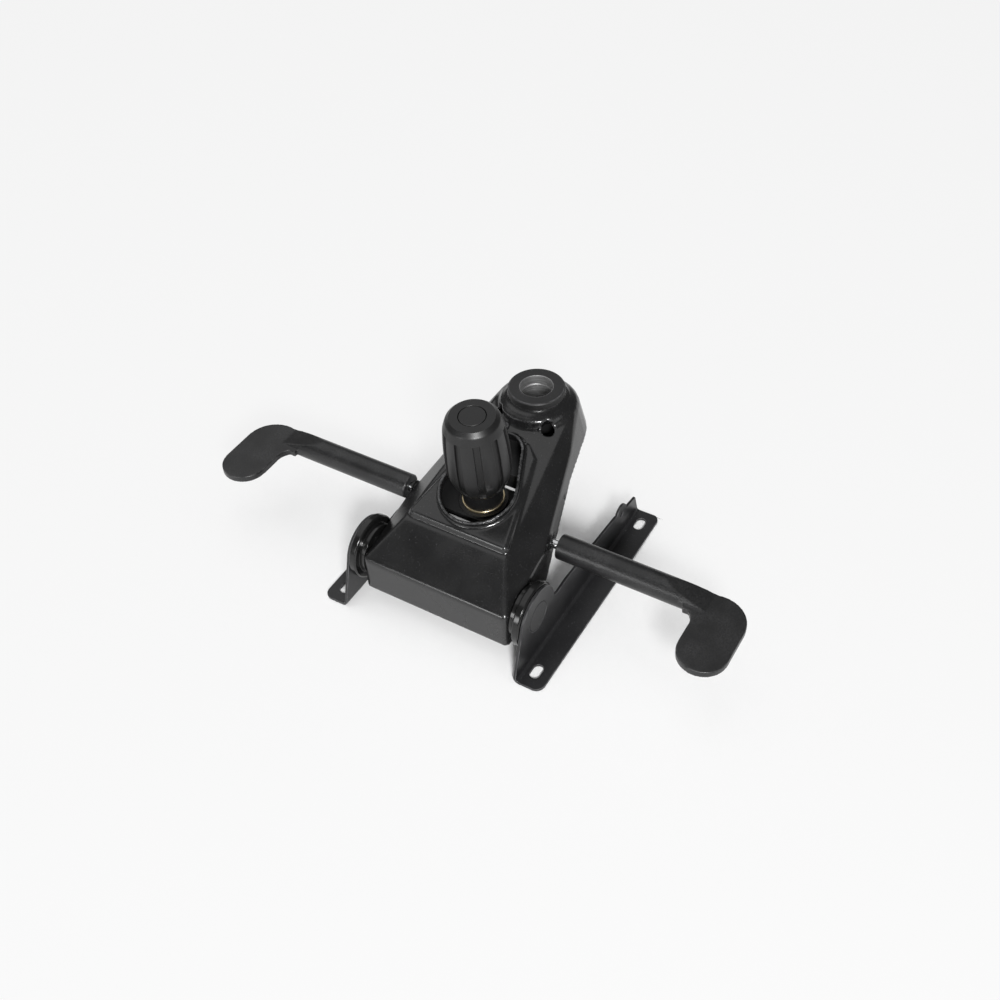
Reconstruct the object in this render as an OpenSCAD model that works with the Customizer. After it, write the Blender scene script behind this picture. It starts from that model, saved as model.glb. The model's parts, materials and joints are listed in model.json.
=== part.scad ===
// Tilt mechanism for an office chair, front-pivot type, standing upside down on its seat rails.
// X runs forward, Y to the sitter's right, Z away from the seat. The origin is the middle of
// the four seat slots, on the plane of the seat. All sizes are in millimetres.

/* [Seat rails] */
// Length of a rail along X
rail_len = 224; // [200:1:260]
// Sheet thickness of the rails
rail_t = 2.5; // [2:0.1:3]
// Distance between the outer faces of the two rail webs
rail_span = 170; // [166:1:180]
// Width of a rail's seat flange, measured from the outer face of the web
flange_w = 22.7; // [20:0.1:30]
// Distance between the seat slots along X
slot_pitch_x = 190; // [170:1:200]
// Distance between the seat slots along Y
slot_pitch_y = 190; // [188:1:196]
// Width of a seat slot
slot_w = 8.5; // [6:0.1:9]
// Length of a seat slot, end to end
slot_len = 14.5; // [10:0.1:18]
// Height of the web just behind the pivot ear
web_h_front = 41; // [36:0.5:46]
// Height of the web in front of the rear ear
web_h_rear = 32; // [28:0.5:38]
// Radius of the pivot ear
ear_r = 26.5; // [24:0.1:29]
// Radius of the small rear ear
rear_ear_r = 10; // [8:0.1:12]
// Diameter of the hole in the rear ear
rear_ear_hole_d = 5.5; // [4:0.1:8]

/* [Pivot] */
// Distance of the pivot in front of the origin
pivot_x = 73; // [70:0.5:76]
// Height of the pivot above the seat plane
pivot_z = 43; // [41:0.5:46]
// Diameter of the pivot axle
axle_d = 20; // [16:0.1:21]
// Diameter of the welded discs that close the axle in the rail webs
disc_d = 27; // [24:0.1:34]
// Diameter of the bush flange between rail and housing
bush_d = 57; // [48:0.5:60]
// Width of the bush flange
bush_flange_w = 7; // [4:0.1:9]
// Diameter of the bush hub in the housing wall
bush_hub_d = 30; // [28:0.1:34]

/* [Housing] */
// Sheet thickness of the housing
wall = 2.5; // [2:0.1:3]
// Rounding of the housing's bent edges
edge_r = 5; // [4.5:0.1:7]
// Place of the front face along X
front_x = 97.5; // [97:0.5:104]
// Width of the front box
box_w = 140; // [134:1:146]
// Height of the front box's top edge
box_top_z = 57; // [54:0.5:62]
// Height of the open rim of the front box
rim_z = 20.5; // [18:0.5:24]
// Distance between the gas lift axis and the origin, to the rear
socket_x = 78; // [74:0.5:84]
// Radius of the rounded nose
nose_r = 37; // [34:0.5:42]
// Height of the nose's top edge
nose_top_z = 124; // [120:0.5:128]
// Rise of the raised field round the knob, in degrees
field_pitch = 16.4; // [14:0.1:18]
// Height of the raised field at its front edge
field_z = 86.5; // [85:0.5:90]
// Place along X of the middle of the opening's round front end
opening_x = 20; // [18:0.5:22]
// Radius of the opening round the knob
opening_r = 31.5; // [30:0.5:32]
// Radius of the opening's narrow rear end
opening_rear_r = 17; // [14:0.5:20]
// Distance between the middles of the opening's two round ends
opening_run = 40; // [36:0.5:42]
// Height of the collar round the knob opening
collar_h = 6.5; // [3:0.1:10]

/* [Gas lift socket] */
// Height of the socket's mouth above the seat plane
mouth_z = 139; // [136:0.5:146]
// Outer diameter of the ring at the mouth
ring_d = 49.4; // [46:0.1:54]
// Height of the ring
ring_h = 6.5; // [4:0.1:8]
// Bore of the straight land at the mouth
mouth_d = 28.4; // [27:0.1:30]
// Depth of the straight land
mouth_depth = 9; // [6:0.1:12]
// Bore of the taper at its wide end
taper_wide_d = 27; // [25:0.1:27.8]
// Bore of the taper at its narrow end
taper_small_d = 24.4; // [22:0.1:25]
// Outer diameter of the socket tube
tube_d = 36; // [32:0.1:38]
// Length of the whole socket
socket_len = 56; // [50:0.5:62]

/* [Tension knob] */
// Place along X of the middle of the knob's seat on its bridge
knob_x = 13.5; // [12:0.5:15]
// Lean of the knob and its screw towards the front, in degrees
knob_lean = 5; // [0:0.5:6]
// Height of the bridge's boss, which carries the knob
bridge_z = 85; // [84.5:0.5:87]
// Height of the knob's base, counted along the knob's axis
knob_base_z = 102; // [100:0.5:104]
// Height of the knob from its base to its top
knob_h = 80; // [75:0.5:90]
// Largest diameter of the knob
knob_d = 54.5; // [50:0.5:60]
// Diameter of the knob's base
knob_base_d = 36; // [35:0.5:42]
// Diameter of the knob's flat top
knob_top_d = 37.5; // [34:0.5:42]
// Diameter of the inset cap in the top
cap_d = 21.8; // [18:0.2:26]
// Number of grip grooves
groove_count = 10; // [6:1:14]
// Width of a grip groove
groove_w = 5.5; // [3:0.1:7]
// Depth of a grip groove
groove_depth = 2; // [1:0.1:3]
// Diameter of the tension screw
screw_d = 12; // [10:0.1:12.6]
// Outer diameter of the brass washer
washer_d = 36; // [30:0.5:40]
// Thickness of the brass washer
washer_t = 2.5; // [1.5:0.1:3]

/* [Springs] */
// Wire diameter of the torsion springs
wire_d = 7; // [6:0.1:7.1]
// Mean diameter of the coils
coil_d = 30.6; // [29.6:0.1:32]
// Distance between neighbouring turns
coil_pitch = 7.6; // [7.55:0.01:8]
// Turns of each spring, an odd number of half turns
coil_turns = 3.5; // [2.5:1:3.5]
// Distance of the rear leg from the middle plane
leg_y = 36; // [34:0.5:36.5]

/* [Levers] */
// Distance of the lever axis in front of the origin
lever_x = 15.5; // [14:0.5:17]
// Height of the lever axis
lever_z = 66; // [65.5:0.5:68]
// Diameter of the lever rods
rod_d = 8; // [7:0.1:8.4]
// Diameter of the round part of a grip
grip_d = 22; // [18:0.5:24]
// Distance of a grip's inner end from the middle plane
grip_start = 74; // [73:0.5:80]
// Distance of a grip's outer end from the middle plane
grip_end = 241; // [230:0.5:250]
// Reach of the paddle in front of the lever axis
paddle_reach = 66.5; // [55:0.5:75]
// Width of the paddle
paddle_w = 41; // [34:0.5:44]
// Thickness of the paddle
paddle_t = 6; // [4:0.1:8]
// Turn of the lock lever from free to locked, in degrees
lock_turn = 24; // [18:1:30]
// Tilt between the upright and the reclined notch, in degrees
tilt_range = 12; // [10:0.5:12]

/* [Hidden] */
$fn = 48;

// Clearances
running = 0.05;
seat_gap = 0.3;
weld_gap = 0.15;
over = 1;

// Colours
coat_black = [0.09, 0.09, 0.095];
plastic_black = [0.13, 0.13, 0.135];
steel = [0.62, 0.63, 0.65];
zinc = [0.78, 0.79, 0.8];
brass = [0.78, 0.62, 0.3];

// Rails
web_out = rail_span / 2;
web_in = web_out - rail_t;
flange_out = web_out + flange_w;
bend_r = 3;
corner_r = 8;
rail_top = pivot_z + ear_r + over;
rear_ear_x = 77;
rear_ear_z = 26;
tail_notch = [-88, 26];
tail_apex = [-105, 23];

module web_outline() {
  foot_h = 5;
  ear_tangent = 12;
  half = rail_len / 2;
  ear_back = 40;
  dip = 1;
  polygon([
    [half, 0], [half, foot_h],
    [pivot_x + ear_r * cos(ear_tangent), pivot_z + ear_r * sin(ear_tangent)],
    [pivot_x, pivot_z],
    [pivot_x - ear_r * cos(ear_tangent), pivot_z],
    [ear_back, web_h_front - dip], [ear_back - slot_len, web_h_front],
    [-rear_ear_x + rear_ear_r + over, web_h_rear], [-rear_ear_x, rear_ear_z],
    tail_notch, tail_apex, [-half, 0]
  ]);
  translate([pivot_x, pivot_z]) circle(r = ear_r);
  translate([-rear_ear_x, rear_ear_z]) circle(r = rear_ear_r);
}

module angle_profile() {
  // Bent angle seen along the rail: the web on the left, the flange at the bottom
  translate([web_in, bend_r + rail_t]) square([rail_t, rail_top]);
  translate([web_in + bend_r + rail_t, 0]) square([flange_out - web_in - bend_r - rail_t, rail_t]);
  translate([web_in + bend_r + rail_t, bend_r + rail_t]) intersection() {
    difference() {
      circle(r = bend_r + rail_t);
      circle(r = bend_r);
    }
    translate([-bend_r - rail_t, -bend_r - rail_t]) square(bend_r + rail_t);
  }
}

module flange_plan() {
  // Outline of the rail from above, with its two rounded outer corners
  half = rail_len / 2;
  translate([-half, web_in - over]) square([rail_len, flange_out - web_in + over - corner_r]);
  translate([-half + corner_r, web_in]) square([rail_len - 2 * corner_r, flange_out - web_in]);
  for (side = [-1, 1])
    translate([side * (half - corner_r), flange_out - corner_r]) circle(r = corner_r);
}

module slot_cut(x, y) {
  travel = slot_len - slot_w;
  translate([x, y, -over]) {
    for (end = [-1, 1])
      translate([end * travel / 2, 0, 0]) cylinder(d = slot_w, h = rail_t + 2 * over);
    translate([-travel / 2, -slot_w / 2, 0]) cube([travel, slot_w, rail_t + 2 * over]);
  }
}

module rail() {
  difference() {
    intersection() {
      translate([-rail_len / 2, 0, 0]) rotate([90, 0, 90]) linear_extrude(rail_len) angle_profile();
      translate([0, flange_out, 0]) rotate([90, 0, 0]) linear_extrude(flange_out - web_in + over) web_outline();
      linear_extrude(rail_top) flange_plan();
    }
    for (end = [-1, 1]) slot_cut(end * slot_pitch_x / 2, slot_pitch_y / 2);
    along_y(web_in - over, web_out + over) translate([pivot_x, pivot_z]) circle(d = disc_d + 2 * running);
    along_y(web_in - over, web_out + over) translate([-rear_ear_x, rear_ear_z]) circle(d = rear_ear_hole_d);
  }
}

// Extrudes an outline drawn in X and Z along Y, from one place to another
module along_y(from, to) {
  translate([0, to, 0]) rotate([90, 0, 0]) linear_extrude(to - from) children();
}

module left_side() { mirror([0, 1, 0]) children(); }

module right_rail() { color(coat_black) rail(); }
module left_rail() { color(coat_black) left_side() rail(); }

// Axle and what is welded to it
module pivot_axle() {
  color(steel) along_y(-web_in, web_in) translate([pivot_x, pivot_z]) circle(d = axle_d);
}

module axle_disc() {
  along_y(web_in, web_out) translate([pivot_x, pivot_z]) circle(d = disc_d);
}

module right_axle_disc() { color(plastic_black) axle_disc(); }
module left_axle_disc() { color(plastic_black) left_side() axle_disc(); }

coil_r = coil_d / 2;
wire_r = wire_d / 2;
leg_top_z = pivot_z + coil_r;
leg_low_z = pivot_z - coil_r;
inner_leg_y = leg_y - coil_turns * coil_pitch;
inner_leg_len = 25;
hub_r = axle_d / 2 + 7;

module axle_hub(from, to) {
  difference() {
    along_y(from, to) translate([pivot_x, pivot_z]) children();
    along_y(from - over, to + over) translate([pivot_x, pivot_z]) circle(d = axle_d + 2 * running);
  }
}

module spring_anchor() {
  // A hub on the axle with a foot under the inner legs of both springs
  hub_half = inner_leg_y - wire_r - 0.4;
  foot_half = inner_leg_y + wire_r + 1;
  foot_top = -coil_r - wire_r - seat_gap;
  foot_low = foot_top - 5;
  foot_front = -11;
  foot_back = -inner_leg_len - 1;
  color(steel) {
    axle_hub(-hub_half, hub_half) {
      circle(r = hub_r);
      polygon([
        [0, -hub_r], [-hub_r, 0], [foot_back, foot_top], [foot_back, foot_low], [foot_front, foot_low]
      ]);
    }
    along_y(-foot_half, foot_half) translate([pivot_x, pivot_z]) polygon([
      [foot_front, foot_top], [foot_back, foot_top], [foot_back, foot_low], [foot_front, foot_low]
    ]);
  }
}

// Lock between the left lever and the axle: the pawl's tooth moves along a radius of the sector
axis_dist = norm([lever_x - pivot_x, lever_z - pivot_z]);
axis_angle = atan2(lever_z - pivot_z, lever_x - pivot_x);
pawl_reach = 26;
sector_r = sqrt(axis_dist * axis_dist - pawl_reach * pawl_reach);
tooth_angle = axis_angle + acos(sector_r / axis_dist);
tooth_w = 5;
tooth_depth = 3;
sector_t = 6;
sector_y = leg_y + wire_r + 7.5;
sector_margin = 6;
sector_end = tooth_angle + tilt_range + sector_margin;
stop_pin_d = 8;
stop_pin_back = 28;

// Slice of a disc between two angles, as an outline
module slice(r, from, to) {
  intersection() {
    circle(r = r);
    polygon([[0, 0], for (a = [from, (from + to) / 2, to]) 2 * r * [cos(a), sin(a)]]);
  }
}

module lock_sector() {
  notch_w = tooth_w + 1.4;
  notch_r = sector_r - tooth_depth - seat_gap;
  color(steel) translate([0, -sector_y - sector_t / 2, 0]) difference() {
    axle_hub(0, sector_t) {
      circle(r = hub_r);
      slice(sector_r, tooth_angle - sector_margin, sector_end);
    }
    for (tilt = [0, tilt_range])
      along_y(-over, sector_t + over) translate([pivot_x, pivot_z]) rotate(tooth_angle + tilt)
        translate([notch_r, -notch_w / 2]) square([sector_r, notch_w]);
  }
}

module tilt_stop_pin() {
  // Stub on the left wall, under the lower edge of the sector, that stops the seat upright
  drop = seat_gap + stop_pin_d / 2;
  along_edge = [cos(sector_end), sin(sector_end)];
  off_edge = [-sin(sector_end), cos(sector_end)];
  at = [pivot_x, pivot_z] + stop_pin_back * along_edge + drop * off_edge;
  inner_end = sector_y - sector_t / 2 - 2;
  color(steel) intersection() {
    along_y(-box_w / 2, -inner_end) translate(at) circle(d = stop_pin_d);
    shell(wall + weld_gap);
  }
}

// Housing: the corners of the drawn shell, as places on its outer face
kink = [27, 67.5, 74.5];
shoulder = [58.5, 47, 80.5];
waist = [-51, 48, 108];
crown = [-56, 17, 119.5];
waist_draft = 6.3;
nose_draft = 12.4;
skirt_z = -30;
rear_skirt_z = 50;
ball_fn = 22;
nose_fn = 28;

// Height of the roof along the middle, and place of the side wall behind and before the kink
function roof_z(x) = shoulder.z + (shoulder.x - x) * (crown.z - shoulder.z) / (shoulder.x - crown.x);
function wall_y(x, z) =
  let (waist_y = waist.y + (waist.z - z) * tan(waist_draft))
  kink.y - (kink.x - x) * (kink.y - waist_y) / (kink.x - waist.x);
function box_side_y(x) = kink.y + (x - kink.x) * (box_w / 2 - kink.y) / (front_x - edge_r - kink.x);
wall_yaw = atan((kink.y - waist.y) / (kink.x - waist.x));

module ball(p, r) {
  translate(p) sphere(r = r, $fn = ball_fn);
}

module nose_ring(r, z, edge) {
  translate([-socket_x, 0, z]) rotate(90) rotate_extrude(angle = 180, $fn = nose_fn)
    translate([r, 0]) circle(r = edge, $fn = ball_fn);
}

// Solid bounded by the sheet's outer face, or by a face that lies the inset inside it
module shell(inset) {
  edge = edge_r - inset;
  waist_low = waist.y + (waist.z - rear_skirt_z) * tan(waist_draft);
  nose_low = nose_r + (nose_top_z - rear_skirt_z) * tan(nose_draft);
  hull() {
    for (side = [-1, 1]) {
      for (z = [skirt_z, box_top_z - edge_r])
        ball([front_x - edge_r, side * (box_w / 2 - edge_r), z], edge);
      for (z = [skirt_z, kink.z - edge_r])
        ball([kink.x, side * (kink.y - edge_r), z], edge);
      ball([shoulder.x, side * shoulder.y, shoulder.z - edge_r], edge);
      ball([crown.x, side * crown.y, crown.z - edge_r], edge);
      ball([waist.x, side * (waist.y - edge_r), waist.z - edge_r], edge);
      ball([waist.x, side * (waist_low - edge_r), rear_skirt_z], edge);
    }
    nose_ring(nose_r - edge_r, nose_top_z - edge_r, edge);
    nose_ring(nose_low - edge_r, rear_skirt_z, edge);
  }
}

field_front = 57.5;
field_back = -38;
field_front_half = shoulder.y + 0.5;
field_back_half = 29.5;
field_r = 4;
field_corner = 9;

function field_top(x) = field_z + (field_front - x) * tan(field_pitch);

// Raised field round the knob
module field(inset) {
  sink = 16;
  front = field_front - field_r;
  back = field_back + field_r;
  hull() for (side = [-1, 1], drop = [0, sink]) {
    ball([front, side * (field_front_half - field_r), field_top(front) - field_r - drop], field_r - inset);
    for (corner = [[back + field_corner, field_back_half], [back, field_back_half - field_corner]])
      ball([corner.x, side * (corner.y - field_r), field_top(corner.x) - field_r - drop], field_r - inset);
  }
}

// Egg-shaped outline of the knob opening, grown by a margin
module opening_outline(margin) {
  lean = acos((opening_rear_r - opening_r) / opening_run);
  front = (opening_r + margin) * [cos(lean), sin(lean)];
  rear = [-opening_run, 0] + (opening_rear_r + margin) * [cos(lean), sin(lean)];
  circle(r = opening_r + margin);
  translate([-opening_run, 0]) circle(r = opening_rear_r + margin);
  polygon([front, rear, [rear.x, -rear.y], [front.x, -front.y]]);
}

module at_opening() {
  translate([opening_x, 0, field_top(opening_x)]) rotate([0, field_pitch, 0]) children();
}

// Prism on the opening's outline, square to the raised field
module opening_prism(margin, below, above) {
  at_opening() translate([0, 0, -below]) linear_extrude(below + above) opening_outline(margin);
}

// Sloping foot where the collar rises out of the field
module collar_foot() {
  foot = 2.2;
  at_opening() hull() for (end = [[0, opening_r], [-opening_run, opening_rear_r]])
    translate([end[0], 0, -foot]) {
      cylinder(r = end[1] + wall + foot, h = foot);
      cylinder(r = end[1] + wall / 2, h = 2 * foot);
    }
}

boss_r = 32;
boss_sink = 6;

// Neck of the nose that flares down from the ring of the gas lift socket
module boss() {
  neck_r = ring_d / 2 - 1.5;
  inner_r = tube_d / 2 - over;
  neck_top = mouth_z - ring_h - nose_top_z;
  flare = boss_r - neck_r;
  flare_h = 6;
  translate([-socket_x, 0, nose_top_z]) rotate_extrude($fn = 64) polygon(concat(
    [[inner_r, -boss_sink], [boss_r, -boss_sink]],
    [for (a = [90:-15:0]) [boss_r - flare * cos(a), flare_h * (1 - sin(a)) - weld_gap]],
    [[neck_r, neck_top], [inner_r, neck_top]]
  ));
}

// Open rim of the side walls, from the front box to the nose
rim_path = [[36, rim_z], [29, 32], [20, 43], [10, 56], [0, 66], [-20, 75], [-40, 84.5], [-56, 88.5], [-74, 91]];
rear_rim_z = 93;

module rim_cut() {
  low = skirt_z - 2 * edge_r;
  back = -socket_x - 2 * nose_r;
  along_y(-box_w, box_w) polygon(concat(
    [[front_x + over, low], [front_x + over, rim_z]], rim_path, [[back, rear_rim_z], [back, low]]
  ));
}

hole_pair = [-54, 24, 117];
hole_pair_lean = [19, 20];
pair_hole_d = 11;
lever_hole_d = 12;
wall_hole = [-22.5, 80.5];
wall_hole_d = 3;
screw_hole = [-43.7, -11.5];
screw_shank_d = 3.5;
roof_pitch = atan((crown.z - shoulder.z) / (shoulder.x - crown.x));

// Raised lip round a hole, with a bevelled outer edge
module lip(d) {
  lip_w = 2;
  lip_h = 1.2;
  bevel = 0.6;
  sink = 0.8;
  inner_r = d / 2 - over;
  outer_r = d / 2 + lip_w;
  rotate_extrude($fn = 32) polygon([
    [inner_r, -sink], [outer_r, -sink], [outer_r, lip_h - bevel], [outer_r - bevel, lip_h], [inner_r, lip_h]
  ]);
}

module at_pair_hole(side) {
  translate([hole_pair.x, side * hole_pair.y, hole_pair.z])
    rotate([-side * hole_pair_lean[0], hole_pair_lean[1], 0]) children();
}

module at_field_screw() {
  translate([screw_hole.x, screw_hole.y, roof_z(screw_hole.x) + seat_gap])
    rotate([0, roof_pitch, 0]) children();
}

module housing() {
  reach = 5 * wall;
  color(coat_black) difference() {
    union() {
      difference() {
        union() {
          shell(0);
          field(0);
          opening_prism(wall, wall, collar_h);
          collar_foot();
        }
        shell(wall);
        field(wall);
        rim_cut();
      }
      boss();
      for (side = [-1, 1]) {
        at_pair_hole(side) lip(pair_hole_d);
        translate([lever_x, side * wall_y(lever_x, lever_z), lever_z])
          rotate([-side * 90, 0, side * wall_yaw]) lip(lever_hole_d);
      }
    }
    opening_prism(0, reach, collar_h + over);
    for (side = [-1, 1])
      at_pair_hole(side) translate([0, 0, -reach]) cylinder(d = pair_hole_d, h = 2 * reach);
    at_field_screw() translate([0, 0, -reach]) cylinder(d = screw_shank_d + 2 * running, h = 2 * reach);
    along_y(-box_w, box_w) translate([lever_x, lever_z]) circle(d = lever_hole_d + 2 * running);
    along_y(-box_w, box_w) translate([pivot_x, pivot_z]) circle(d = bush_hub_d + 2 * running);
    along_y(-box_w, box_w) translate(wall_hole) circle(d = wall_hole_d);
    translate([-socket_x, 0, 0]) cylinder(d = tube_d + 2 * running, h = mouth_z);
  }
}

// Gas lift socket
module gas_socket() {
  chamfer = 1;
  base = mouth_z - socket_len;
  color(coat_black) translate([-socket_x, 0, 0]) rotate_extrude($fn = 64) polygon([
    [taper_small_d / 2, base], [tube_d / 2, base], [tube_d / 2, mouth_z - ring_h + seat_gap],
    [ring_d / 2, mouth_z - ring_h + seat_gap], [ring_d / 2, mouth_z - chamfer], [ring_d / 2 - chamfer, mouth_z],
    [mouth_d / 2, mouth_z], [mouth_d / 2, mouth_z - mouth_depth], [taper_wide_d / 2, mouth_z - mouth_depth]
  ]);
}

plate_t = 3.5;
plate_drop = 44;
plate_flange = 11.5;

// Inner plate round the socket tube, with its front edge turned down behind the knob's bridge
module socket_plate() {
  plate_z = mouth_z - plate_drop;
  back = -socket_x - nose_r;
  front = knob_x - neck_d / 2 - 6;
  color(coat_black) difference() {
    intersection() {
      shell(wall + weld_gap);
      union() {
        translate([back, -box_w / 2, plate_z]) cube([front - back, box_w, plate_t]);
        translate([front - plate_t, -box_w / 2, plate_z - plate_flange])
          cube([plate_t, box_w, plate_flange + over]);
      }
    }
    translate([-socket_x, 0, plate_z - over]) cylinder(d = tube_d + 2 * running, h = plate_t + 2 * over);
  }
}

// Bridge under the knob: a pressed channel welded between the sloping sides, with a boss for the washer
bridge_t = 3;
bridge_w = 44;
bridge_boss_h = 3;

// Turns what is drawn upright on the knob's seat to the lean of the knob
module at_knob() {
  translate([knob_x, 0, bridge_z]) rotate([0, knob_lean, 0]) translate([0, 0, -bridge_z]) children();
}

module knob_bridge() {
  flange_h = 6;
  boss_d = washer_d + 2 * bridge_t;
  plate_z = bridge_z - bridge_boss_h;
  color(coat_black) difference() {
    union() {
      intersection() {
        shell(wall + weld_gap);
        translate([knob_x - bridge_w / 2, -box_w / 2, plate_z - flange_h]) cube([bridge_w, box_w, flange_h]);
      }
      at_knob() translate([0, 0, plate_z - bridge_t]) cylinder(d = boss_d, h = bridge_boss_h + bridge_t);
    }
    translate([knob_x - bridge_w / 2 + bridge_t, -box_w, 0])
      cube([bridge_w - 2 * bridge_t, 2 * box_w, plate_z - bridge_t]);
    at_knob() cylinder(d = boss_d - 2 * bridge_t, h = bridge_z - bridge_t);
    at_knob() cylinder(d = screw_d + 2 * running, h = mouth_z);
  }
}

// Bushes
module pivot_bush() {
  hub_depth = 7;
  hub_in = box_w / 2 - hub_depth;
  flange_step = 6;
  collar_in = max(box_w / 2, box_side_y(pivot_x - bush_d / 2)) + weld_gap;
  flange_face = web_in - seat_gap;
  edge = 1.2;
  bore = axle_d / 2 + running;
  translate([pivot_x, 0, pivot_z]) rotate([-90, 0, 0]) rotate_extrude($fn = 64) polygon([
    [bore, hub_in], [bush_hub_d / 2, hub_in], [bush_hub_d / 2, collar_in],
    [bush_d / 2 - flange_step, collar_in],
    [bush_d / 2 - flange_step, flange_face - bush_flange_w], [bush_d / 2 - edge, flange_face - bush_flange_w],
    [bush_d / 2, flange_face - bush_flange_w + edge], [bush_d / 2, flange_face - edge],
    [bush_d / 2 - edge, flange_face], [bore, flange_face]
  ]);
}

module right_pivot_bush() { color(plastic_black) pivot_bush(); }
module left_pivot_bush() { color(plastic_black) left_side() pivot_bush(); }

module lock_rod_bush() {
  inner_end = sector_y + sector_t / 2 + 3;
  outer_end = wall_y(lever_x, lever_z) + 3.4;
  flange_t = 1.5;
  flange_d = lever_hole_d + 3;
  color(plastic_black) difference() {
    union() {
      along_y(-outer_end, -inner_end) translate([lever_x, lever_z]) circle(d = lever_hole_d);
      along_y(-outer_end - flange_t, -outer_end) translate([lever_x, lever_z]) circle(d = flange_d);
    }
    along_y(-box_w, 0) translate([lever_x, lever_z]) circle(d = rod_d + 2 * running);
  }
}

// Pivot of the height lever: a bracket on the right wall, a pin through it and a return spring on the pin
elbow_y = leg_y + 11;
lever_pivot_y = kink.y - 11.5;
pivot_pin_d = 5;
eye_d = 12;
eye_half = 5.5;
ear_t = 3;
ear_in = eye_half + 0.5;
ear_out = ear_in + ear_t;
return_wire_d = 1.2;
return_coil_r = rod_d / 2 + return_wire_d / 2 + 0.4;
return_turns = 3;
return_pitch = 1.9;
return_start = ear_out + 1.5;
return_end = return_start + return_turns * return_pitch;
hook_y = 5.5;

module at_lever_pivot() {
  translate([lever_x, lever_pivot_y, lever_z]) children();
}

module lever_bracket() {
  inner_end = elbow_y + rod_d / 2 - 1 - lever_pivot_y;
  half_h = eye_d / 2 + 1 + ear_t;
  hook_d = return_wire_d + 1.2;
  color(coat_black) difference() {
    intersection() {
      shell(wall + weld_gap);
      at_lever_pivot() difference() {
        translate([-ear_out, inner_end, -half_h]) cube([2 * ear_out, box_w, 2 * half_h]);
        translate([-ear_in, inner_end - over, -half_h - over])
          cube([2 * ear_in, box_w + 2 * over, 2 * half_h - ear_t + over]);
      }
    }
    at_lever_pivot() rotate([0, 90, 0]) cylinder(d = pivot_pin_d + 2 * running, h = 4 * ear_out, center = true);
    at_lever_pivot() translate([0, hook_y, return_coil_r]) rotate([0, 90, 0])
      cylinder(d = hook_d, h = 2 * ear_out);
  }
}

module lever_pivot_pin() {
  back = ear_out + 1;
  front = return_end + 1.5;
  color(steel) at_lever_pivot() translate([-back, 0, 0]) rotate([0, 90, 0])
    cylinder(d = pivot_pin_d, h = back + front);
}

// Springs, each one unbroken tube swept along its wire
function unit(v) = v / norm(v);
function direction(path, i) = unit(path[min(i + 1, len(path) - 1)] - path[max(i - 1, 0)]);
function ring(path, i, r, sides, axis) =
  let (t = direction(path, i), n = unit(cross(t, axis)), b = cross(n, t))
  [for (k = [0:sides - 1]) path[i] + r * (cos(360 * k / sides) * n + sin(360 * k / sides) * b)];

module tube(path, r, sides, axis) {
  last = len(path) - 1;
  points = [for (i = [0:last]) each ring(path, i, r, sides, axis)];
  skin = [for (i = [0:last - 1], k = [0:sides - 1])
    let (a = i * sides + k, b = i * sides + (k + 1) % sides)
    each [[a, b, a + sides], [b, b + sides, a + sides]]];
  ends = [for (k = [1:sides - 2]) each [[0, k + 1, k], [last * sides, last * sides + k, last * sides + k + 1]]];
  polyhedron(points, concat(skin, ends));
}

rings_per_turn = 8;
wire_sides = 6;

function coil(centre, r, pitch, turns, start, from_y, sense) = [
  for (i = [0:rings_per_turn * turns])
    let (a = start - sense * 360 * i / rings_per_turn)
    [centre.x + r * cos(a), from_y - pitch * i / rings_per_turn, centre.y + r * sin(a)]
];

// Least distance between points of a wire that lie half a turn or more apart, less the wire
function self_gap(path, d) = min([
  for (i = [0:len(path) - 1], j = [i + rings_per_turn / 2:1:len(path) - 1]) norm(path[i] - path[j])
]) - d;

spring_wire = concat(
  [[knob_x - 8, leg_y, leg_top_z], [(knob_x + pivot_x) / 2, leg_y, leg_top_z]],
  coil([pivot_x, pivot_z], coil_r, coil_pitch, coil_turns, 90, leg_y, 1),
  [[pivot_x - inner_leg_len, inner_leg_y, leg_low_z]]
);

echo(torsion_spring_gap = self_gap(spring_wire, wire_d));

module torsion_spring() { tube(spring_wire, wire_r, wire_sides, [0, 1, 0]); }
module right_torsion_spring() { color(steel) torsion_spring(); }
module left_torsion_spring() { color(steel) left_side() torsion_spring(); }

// Small screw behind the opening
module field_screw() {
  head_d = 6.5;
  head_h = 2;
  shank_len = 8;
  color(steel) at_field_screw() {
    cylinder(d = head_d, h = head_h);
    translate([0, 0, -shank_len]) cylinder(d = screw_shank_d, h = shank_len);
  }
}

// Tension screw and knob
collar_t = 3;
thread_low = 50;
neck_d = 34;
cap_depth = 3;
nut_flats = 18;
nut_h = 10;
screw_reach = 30;
screw_top = knob_base_z + screw_reach;
nut_z = screw_top - nut_h - 2;

module tension_screw() {
  color(zinc) at_knob() {
    translate([0, 0, thread_low]) cylinder(d = screw_d, h = screw_top - thread_low);
    translate([0, 0, bridge_z - bridge_t - seat_gap - collar_t]) cylinder(d = 2 * screw_d, h = collar_t);
  }
}

module brass_washer() {
  color(brass) at_knob() translate([0, 0, bridge_z + seat_gap]) difference() {
    cylinder(d = washer_d, h = washer_t);
    translate([0, 0, -over]) cylinder(d = screw_d + 2 * running, h = washer_t + 2 * over);
  }
}

belly = 0.35;
groove_top = 0.86;
groove_rows = 9;
shoulder_drop = 2.4;
knob_top_z = knob_base_z + knob_h;

// Radius of the barrel at a share of its height, on two curves that meet at the belly
function barrel_r(f) = f > belly
  ? knob_d / 2 - shoulder_drop * pow((f - belly) / (groove_top - belly), 2)
  : knob_d / 2 - (knob_d - knob_base_d) / 2 * pow((belly - f) / belly, 2);
function knob_profile(inset) = [
  for (i = [1:groove_rows])
    let (f = groove_top * i / groove_rows) [barrel_r(f) - inset, knob_base_z + knob_h * f]
];

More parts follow.
